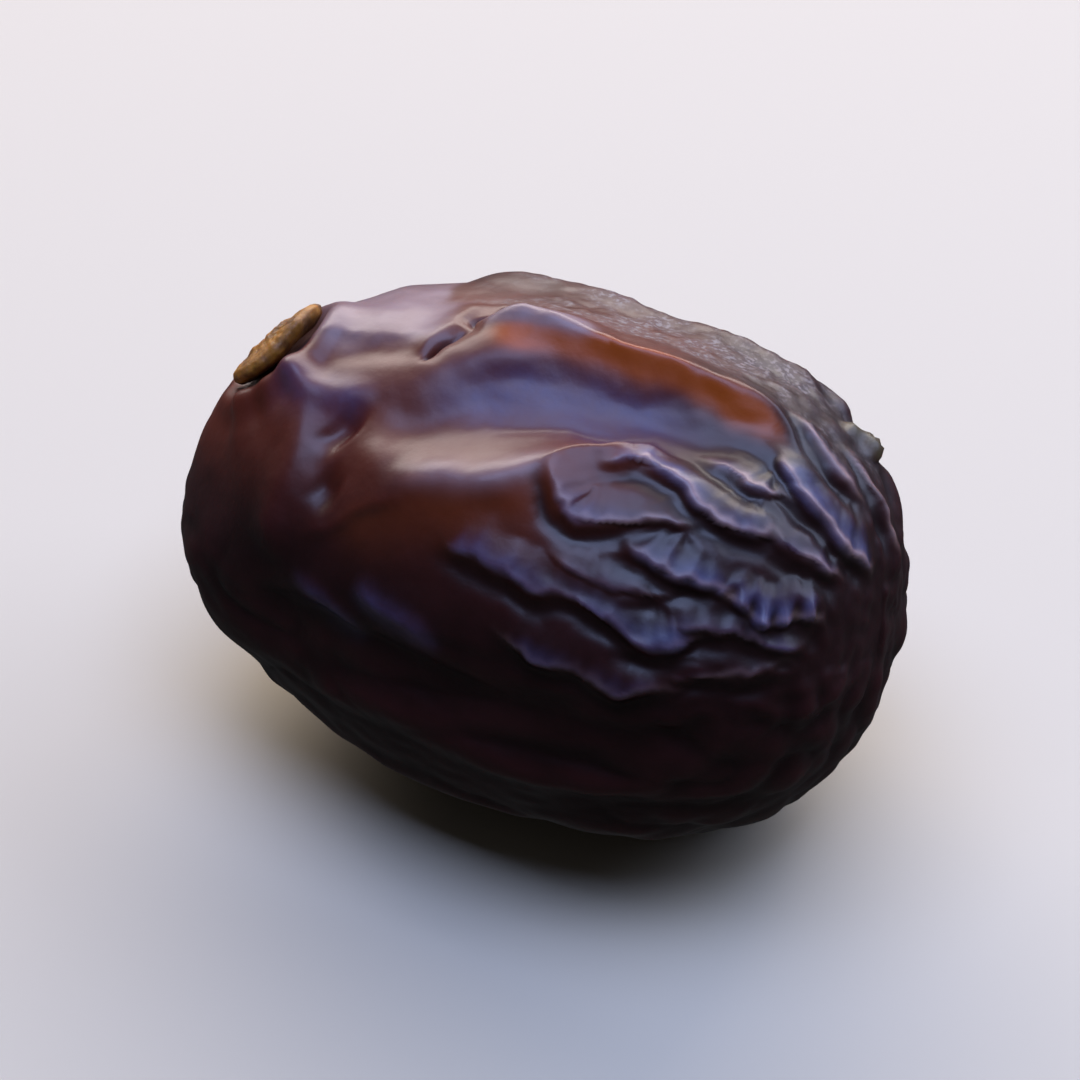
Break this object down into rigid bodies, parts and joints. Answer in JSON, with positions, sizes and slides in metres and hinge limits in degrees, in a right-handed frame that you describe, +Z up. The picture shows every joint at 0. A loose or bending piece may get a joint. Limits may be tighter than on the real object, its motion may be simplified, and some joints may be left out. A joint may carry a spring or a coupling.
{
  "type": "date",
  "caption": "Soft, dark date lying on its side, its skin folded and wrinkled towards the apex, with the dried calyx cap on its stem end.",
  "frame": {"origin": "on the surface the date rests on, below the middle of its bounding box", "axes": "+X along the fruit from the stem end to the apex, +Z up, -Y the side with the long hollow and the wrinkles"},
  "size_m": [0.0382, 0.0262, 0.026],
  "materials": {
    "date_skin": "glossy, thin, wrinkled brown-black skin with amber where it lifts off the flesh",
    "dry_calyx": "matt, dry and fibrous"
  },
  "bodies": {
    "root": {"fruit": "date_skin", "cap": "dry_calyx"}
  },
  "joints": []
}
